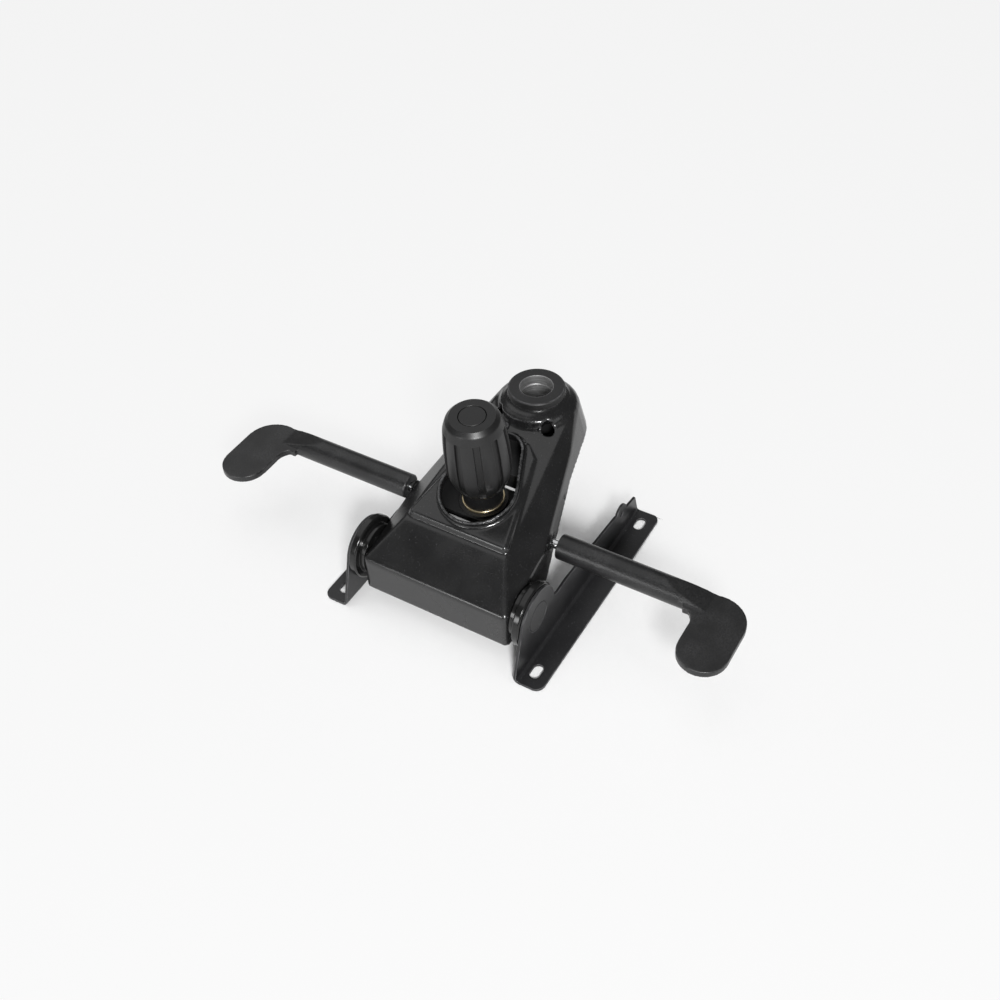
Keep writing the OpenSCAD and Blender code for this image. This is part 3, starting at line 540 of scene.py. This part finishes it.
# Painted shade: the side of the ring, below its top edge, is darkened in the coat's colour.
painted_side_shade = ramp(tree, height.outputs["Z"], ring_edge_high, ring_edge_low)
tinted(tree, painted_side_shade, (0.006, 0.006, 0.006))
in_bore = ramp(tree, from_axis(tree, bore_axis, (1, 1, 0)), bore_edge, bore_inside)
tool_marks = use_group(tree, streaked, Along_X=60.0, Along_Y=60.0, Along_Z=1500.0)["Streak"]
tinted(tree, in_bore, mixed(tree, tool_marks, (0.3, 0.3, 0.3), (0.55, 0.55, 0.55)))
tree.links.new(in_bore, tree.nodes["Principled BSDF"].inputs["Metallic"])
softened("gas_socket", 0.5 * MM, "socket_coat", socket_coat)
# Painted shade: pieces inside the housing take a darker copy of the coat; its higher roughness keeps them
# matte.
shaded_inner_coat = powder_coated(
    "Inner coat with painted shade", dark=(0.004, 0.004, 0.0042), light=(0.007, 0.007, 0.0073),
    rough=(0.55, 0.7), peel_depth=0.06 * MM, edge_highlight_amount=0.0,
)
softened("socket_plate", 0.4 * MM, "housing_coat", shaded_inner_coat)


# Bushes. Glossy mouldings: a stepped flange between each rail and the housing, a plain one for the lock rod.
# They are pressed into the walls of the housing.
mould, given, result = effect_group("Moulded skin", {"Grain Scale": 1600.0}, ["Height", "Flow"])
mould.links.new(noise(mould, given["Grain Scale"], harshness=0.6), result["Height"])
mould.links.new(ramp(mould, noise(mould, 45.0), 0.3, 0.7), result["Flow"])


def moulded(name, dark, light, rough, grain_depth, grain_scale=1600.0, edge_highlight_amount=0.2):
    """Moulded plastic with the grain of its tool."""
    # Painted highlight: the rounded edges are lightened towards this grey.
    rim_highlight_colour = (0.13, 0.13, 0.13)
    material, tree, surface = new_finish(name)
    skin = use_group(tree, mould, Grain_Scale=grain_scale)
    edge_glow = use_group(tree, edge_highlights, Amount=edge_highlight_amount)["Mask"]
    flowed = mixed(tree, skin["Flow"], dark, light)
    grained = mixed(tree, ramp(tree, skin["Height"], 0.35, 0.65), dark, flowed)
    tree.links.new(mixed(tree, edge_glow, grained, rim_highlight_colour), surface.inputs["Base Color"])
    tree.links.new(ramp(tree, skin["Height"], 0.3, 0.7, *rough), surface.inputs["Roughness"])
    bumped(tree, surface, skin["Height"], 0.6, grain_depth)
    return material


bush_plastic = moulded(
    "Glossy bush", dark=(0.006, 0.006, 0.006), light=(0.009, 0.009, 0.009),
    rough=(0.14, 0.22), grain_depth=0.01 * MM, edge_highlight_amount=0.0,
)
for node in ("left_pivot_bush", "right_pivot_bush", "lock_rod_bush"):
    softened(node, 0.4 * MM, "bush_plastic", bush_plastic)


# Brackets in the housing. The bridge carries the tension screw, the bracket carries the height lever's pin.
# They are welded in before the housing is coated; the stop pin and the pivot pin stay bare.
zinc_steel = bare_metal(
    "Bright zinc", dull=(0.6, 0.61, 0.62), bright=(0.78, 0.79, 0.8),
    rough=(0.16, 0.3), along=(700.0, 40.0, 700.0),
)
# The bridge and bracket take the darker inner coat too, as painted shade.
for node in ("knob_bridge", "lever_bracket"):
    softened(node, 0.4 * MM, "housing_coat", shaded_inner_coat)
softened("tilt_stop_pin", 0.4 * MM, "bare_steel", bare_steel)
softened("lever_pivot_pin", 0.3 * MM, "zinc_steel", zinc_steel)


# Field screw. A small pan-head screw behind the knob opening.
# It is coated black and driven into the roof of the housing.
softened("field_screw", 0.6 * MM, "rail_coat", rail_coat, steps=3)


# Tension screw, nuts and yoke. The screw turns with the knob and draws the yoke's nut along its thread.
# Screw and nuts are zinc plated; the yoke is a sawn steel bar that bears on the springs' rear legs.
for node in ("knob_nut", "yoke_nut"):
    softened(node, 0.4 * MM, "zinc_steel", zinc_steel)


def turned(name, place, rows, angles_at, radius_at, finish):
    """Closed piece round an axis: rows of radius and height, with the radius cut by a rule for each angle."""
    same_point = 0.001 * MM
    hard_edge = radians(40)
    shape = bmesh.new()
    cut = shape.verts.layers.float.new("cut")
    rings = []
    for r, z in rows:
        ring = []
        for angle in angles_at(r):
            q = radius_at(r, z, angle)
            ring.append(shape.verts.new(place @ Vector((q * cos(angle), q * sin(angle), z))))
            ring[-1][cut] = r - q
        rings.append(ring)
    for lower, upper in zip(rings, rings[1:]):
        for k in range(len(lower)):
            n = (k + 1) % len(lower)
            shape.faces.new((lower[k], lower[n], upper[n], upper[k]))
    bmesh.ops.remove_doubles(shape, verts=shape.verts, dist=same_point)
    bmesh.ops.recalc_face_normals(shape, faces=shape.faces)
    mesh = bpy.data.meshes.new(name)
    shape.to_mesh(mesh)
    shape.free()
    mesh.materials.append(finish)
    mesh.shade_smooth()
    mesh.set_sharp_from_angle(angle=hard_edge)
    return placed(name, mesh)


knob_joint = next(j for j in frame["record"]["behaviour"]["joints"] if j["name"] == "knob_turn")
seat = Vector(knob_joint["pos_m"])
lean = Vector((0, 0, 1)).rotation_difference(Vector(knob_joint["axis"])).to_matrix().to_4x4()
on_screw_axis = Matrix.Translation(seat) @ lean @ Matrix.Translation((0, 0, -seat.z))
screw_r = 6 * MM
screw_low, screw_high = 50 * MM, 132 * MM
screw_bevel = 1 * MM
screw_sides = 48
collar_r = 12 * MM
collar_low, collar_high = 78.7 * MM, 81.7 * MM
collar_bevel = 0.5 * MM
thread_pitch = 3 * MM
thread_depth = 1.3 * MM
thread_end = collar_low - 2 * MM
thread_rows = 130


def threaded(r, z, angle):
    """Radius of the screw, cut by its thread below the collar."""
    off_shank = 0.01 * MM
    if r < screw_r - off_shank or r > screw_r + off_shank or z > thread_end:
        return r
    place = (z / thread_pitch - angle / tau) % 1.0
    return r - thread_depth * (1 - abs(2 * place - 1))


def all_round(r):
    """Even angles round the screw, the same at every radius."""
    return turns(1, 0, 1, screw_sides)[:-1]


shank = [(screw_r, screw_low + (thread_end - screw_low) * i / thread_rows) for i in range(thread_rows + 1)]
screw_rows = [
    (0.0, screw_low), (screw_r - thread_depth, screw_low), *shank,
    (screw_r, collar_low), (collar_r - collar_bevel, collar_low), (collar_r, collar_low + collar_bevel),
    (collar_r, collar_high - collar_bevel), (collar_r - collar_bevel, collar_high), (screw_r, collar_high),
    (screw_r, screw_high - screw_bevel), (screw_r - screw_bevel, screw_high), (0.0, screw_high),
]
screw = turned("tension_screw_piece", on_screw_axis, screw_rows, all_round, threaded, zinc_steel)
stands_for(screw, "tension_adjuster", "zinc_steel", "tension_screw")
softened("spring_yoke", 0.4 * MM, "bare_steel", bare_steel)


# Washer. A flat ring of rolled brass between the knob's neck and the bridge.
# It lies loose round the screw and turns with the knob.
washer_brass = bare_metal(
    "Rolled brass", dull=(0.9, 0.72, 0.42), bright=(1.0, 0.88, 0.62),
    rough=(0.3, 0.45), along=(400.0, 400.0, 60.0),
)
softened("brass_washer", 0.6 * MM, "washer_brass", washer_brass, steps=3)


# Tension knob. A moulded plastic knob with grip grooves and an inset cap in its top.
# A nut in it clamps it to the tension screw.
knob_plastic = moulded(
    "Satin knob", dark=(0.006, 0.006, 0.0062), light=(0.010, 0.010, 0.0103),
    rough=(0.34, 0.46), grain_depth=0.02 * MM, grain_scale=2200.0,
)
tree = knob_plastic.node_tree
# Painted shade: the floors of the grip grooves are darkened by how deep the rule cut them.
cut = tree.nodes.new("ShaderNodeAttribute")
cut.attribute_name = "cut"
shade_from, shade_full = 0.3 * MM, 1.5 * MM
painted_groove_shade = ramp(tree, cut.outputs["Fac"], shade_from, shade_full)
tinted(tree, painted_groove_shade, (0.004, 0.004, 0.004))
neck_low, knob_base, knob_top = 88.1 * MM, 102 * MM, 181.9 * MM
knob_h = knob_top - knob_base
neck_r = 17 * MM
base_r = 18 * MM
base_h = 1.5 * MM
belly_r = 27.25 * MM
belly, shoulder = 0.35, 0.86
taper = 2.4 * MM
bevel_r, bevel_h = 22.25 * MM, 3.5 * MM
top_r = 18.75 * MM
cap_r = 10.9 * MM
cap_line = 0.45 * MM
cap_depth = 3 * MM
bore_r, bore_depth = 6.2 * MM, 4 * MM


def barrel_r(share):
    """Radius of the knob's barrel at a share of its height."""
    if share < belly:
        return belly_r - (belly_r - base_r) * ((belly - share) / belly) ** 2
    return belly_r - taper * ((share - belly) / (shoulder - belly)) ** 2


def finely(points, gap, rounds):
    """Puts points along an outline at an even gap and rounds its corners."""
    line = []
    for (r0, z0), (r1, z1) in zip(points, points[1:]):
        count = max(1, round(((r1 - r0) ** 2 + (z1 - z0) ** 2) ** 0.5 / gap))
        line += [(r0 + (r1 - r0) * i / count, z0 + (z1 - z0) * i / count) for i in range(count)]
    line.append(points[-1])
    for _ in range(rounds):
        inner = [
            tuple((a + 2 * b + c) / 4 for a, b, c in zip(before, here, after))
            for before, here, after in zip(line, line[1:], line[2:])
        ]
        line = [line[0], *inner, line[-1]]
    return line


barrel_steps = 18
shares = [shoulder * i / barrel_steps for i in range(2, barrel_steps + 1)]
barrel = [
    (neck_r, neck_low), (neck_r, knob_base), (base_r, knob_base + base_h),
    *[(barrel_r(s), knob_base + knob_h * s) for s in shares],
    (bevel_r, knob_top - bevel_h), (top_r, knob_top),
]
outline = finely(barrel, gap=0.7 * MM, rounds=2)
pocket_r = cap_r + cap_line
rim = 1.2 * MM
rim_bevel_r, rim_bevel_h = 0.25 * MM, 0.3 * MM
top = [(cap_r + rim, knob_top), (pocket_r + rim_bevel_r, knob_top), (pocket_r, knob_top - rim_bevel_h)]
pocket = [(pocket_r, knob_top - cap_depth), (0.0, knob_top - cap_depth)]
foot = [(0.0, neck_low + bore_depth), (bore_r, neck_low + bore_depth), (bore_r, neck_low)]
groove_count = 10
groove_half = 2.75 * MM
groove_depth = 2.0 * MM
groove_low, groove_high = knob_base + 7.4 * MM, knob_base + 69 * MM
side_wall, low_end, high_end = 0.2 * MM, 0.6 * MM, 0.5 * MM


def step(value, middle, reach):
    """Rises smoothly from 0 to 1, within reach on both sides of the middle."""
    low, high = middle - reach, middle + reach
    t = min(max((value - low) / (high - low), 0.0), 1.0)
    return t * t * (3 - 2 * t)


def grooved(r, z, angle):
    """Radius of the knob with its grip grooves."""
    pitch = tau / groove_count
    off = abs((angle + pitch / 2) % pitch - pitch / 2) * r
    inside = 1 - step(off, groove_half, side_wall)
    along = step(z, groove_low, low_end) * (1 - step(z, groove_high, high_end))
    return r - groove_depth * inside * along


def rib_angles(r):
    """Angles round the knob, close together at the walls of its grooves."""
    half_pitch = pi / groove_count
    least_r = 15 * MM
    walls = [d * MM / max(r, least_r) for d in (0.9, 1.8, 2.45, 2.6, 2.7, 2.8, 2.9, 3.1, 3.6)]
    ribs = [walls[-1] + (half_pitch - walls[-1]) * i / 5 for i in range(1, 5)]
    side = walls + ribs
    one = [-a for a in reversed(side)] + [0.0] + side + [half_pitch]
    return [tau * i / groove_count + a for i in range(groove_count) for a in one]


knob_rows = foot + outline + top + pocket
knob = turned("tension_knob_piece", on_screw_axis, knob_rows, rib_angles, grooved, knob_plastic)
stands_for(knob, "tension_adjuster", "knob_plastic", "tension_knob")
softened("knob_cap", 0.5 * MM, "knob_plastic", knob_plastic)


# Height lever. A zinc-plated rod on a pin in the housing, its tip over the gas lift's button.
# It has a moulded grip outside, and a small wire spring on the pin brings it back.
grip_plastic = moulded(
    "Grained grip", dark=(0.007, 0.007, 0.0073), light=(0.03, 0.03, 0.031),
    rough=(0.28, 0.42), grain_depth=0.18 * MM, grain_scale=800.0, edge_highlight_amount=0.5,
)
softened("height_lever_rod", 0.3 * MM, "zinc_steel", zinc_steel)
pressed("height_lever_grip", 0.8 * MM, 4, "grip_plastic", grip_plastic)
pin_low, pin_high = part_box("lever_pivot_pin")
pin = (pin_low + pin_high) / 2
return_wire = 0.6 * MM
return_coil = 5 * MM
return_turns = 3
return_points, return_sides = 260, 12
coil_start, coil_end = 26 * MM, 31.7 * MM
hook_x, hook_y = 23 * MM, 5.5 * MM
hook_bend = 1 * MM
arm_steps = 6
angles = turns(return_turns, pi / 2, 1)
windings = []
for i, a in enumerate(angles):
    along = coil_start + (coil_end - coil_start) * i / (len(angles) - 1)
    windings.append(Vector((along, pin.y + return_coil * cos(a), pin.z + return_coil * sin(a))))
top_z = pin.z + return_coil
hook = [
    Vector((hook_x, pin.y + hook_y, top_z)),
    Vector((coil_start - hook_bend, pin.y + hook_y - hook_bend, top_z)),
]
arm_bend = Vector((coil_end, pin.y - 10 * MM, top_z))
arm_start = Vector((coil_end - 1.5 * MM, pin.y - 12 * MM, top_z))
arm_end = Vector((3.5 * MM, pin.y - 13 * MM, top_z))
arm = [arm_bend, arm_start] + [arm_start.lerp(arm_end, i / arm_steps) for i in range(1, arm_steps + 1)]
return_path = hook + windings + arm
return_spring = wire_piece("lever_return_spring_wire", return_path, return_wire, return_points, return_sides)
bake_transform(return_spring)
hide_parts("lever_return_spring")


# Tilt lock lever. A zinc-plated rod through the left wall, with a moulded grip outside and a pawl inside.
# Turning the grip swings the tooth of the steel pawl into a notch of the sector.
softened("lock_lever_rod", 0.3 * MM, "zinc_steel", zinc_steel)
pressed("lock_lever_grip", 0.8 * MM, 4, "grip_plastic", grip_plastic)
softened("lock_pawl", 0.4 * MM, "bare_steel", bare_steel)


# Floor, light and camera. The mechanism stands upside down on a plain pale floor in soft light.
# The floor is lifted to white where the part doesn't shade it, and from below it lets the underside be seen.
# The camera stands where the photograph was taken.
floor_half = 4.0
floor_drop = 0.3 * MM
shade_reach = 150 * MM
corners = [(x * floor_half, y * floor_half, 0) for x, y in ((-1, -1), (1, -1), (1, 1), (-1, 1))]
floor_mesh = bpy.data.meshes.new("floor")
floor_mesh.from_pydata(corners, [], [(0, 1, 2, 3)])
floor = placed("floor", floor_mesh)
floor.location.z = -floor_drop
paper, tree, surface = new_finish("Pale floor")
surface.inputs["Base Color"].default_value = (0.86, 0.86, 0.86, 1.0)
surface.inputs["Roughness"].default_value = 0.9
glow = shader_node(tree, "ShaderNodeEmission", Color=(1.0, 1.0, 1.0, 1.0), Strength=0.94)
seen = tree.nodes.new("ShaderNodeLightPath").outputs
mirrored = combined(tree, "MAXIMUM", seen["Is Camera Ray"], seen["Is Glossy Ray"])
shaded = shader_node(tree, "ShaderNodeAmbientOcclusion", Distance=shade_reach)
shaded.samples = 4
open_floor = ramp(tree, shaded.outputs["AO"], 0.55, 0.8, 0.0, 0.92)


def mixed_shaders(tree, factor, first, second):
    """Mixes two shaders by a mask."""
    node = tree.nodes.new("ShaderNodeMixShader")
    for socket, end in zip((factor, first.outputs[0], second.outputs[0]), node.inputs):
        tree.links.new(socket, end)
    return node


lifted = mixed_shaders(tree, combined(tree, "MULTIPLY", mirrored, open_floor), surface, glow)
below = tree.nodes.new("ShaderNodeNewGeometry").outputs["Backfacing"]
one_way = mixed_shaders(tree, below, lifted, tree.nodes.new("ShaderNodeBsdfTransparent"))
tree.links.new(one_way.outputs[0], tree.nodes["Material Output"].inputs["Surface"])
floor_mesh.materials.append(paper)

world = bpy.data.worlds.new("Studio")
bpy.context.scene.world = world
world.use_nodes = True
tree = world.node_tree
seen = tree.nodes.new("ShaderNodeLightPath").outputs
backdrop = mixed(tree, seen["Is Camera Ray"], (0.14, 0.14, 0.14), (0.94, 0.94, 0.94))
tree.links.new(backdrop, tree.nodes["Background"].inputs["Color"])


def softbox(name, place, size, power):
    """Square area lamp turned towards the mechanism."""
    aim = Vector((0, 0, 60 * MM))
    lamp = bpy.data.lights.new(name, "AREA")
    lamp.shape = "SQUARE"
    lamp.size = size
    lamp.energy = power
    holder = placed(name, lamp)
    holder.location = place
    holder.rotation_euler = (aim - Vector(place)).to_track_quat("-Z", "Y").to_euler()


softbox("key", (1.25, 1.0, 1.15), size=0.3, power=42.0)
softbox("overhead", (-0.25, -0.8, 1.8), size=2.4, power=13.0)
softbox("low_front", (1.7, -0.5, 0.5), size=0.5, power=6.0)

lens = bpy.data.cameras.new("camera")
lens.sensor_width = 36.0
lens.lens = 43.42
lens.clip_start = 0.01
camera = placed("camera", lens)
stand = Matrix.Translation((0.6100, 0.4013, 0.7897))
right = Vector((-0.5094, 0.8597, -0.0391))
up = Vector((-0.6184, -0.3341, 0.7113))
camera.matrix_world = stand @ Matrix((right, up, right.cross(up))).transposed().to_4x4()
bpy.context.scene.camera = camera
bpy.context.scene.view_settings.view_transform = "Standard"
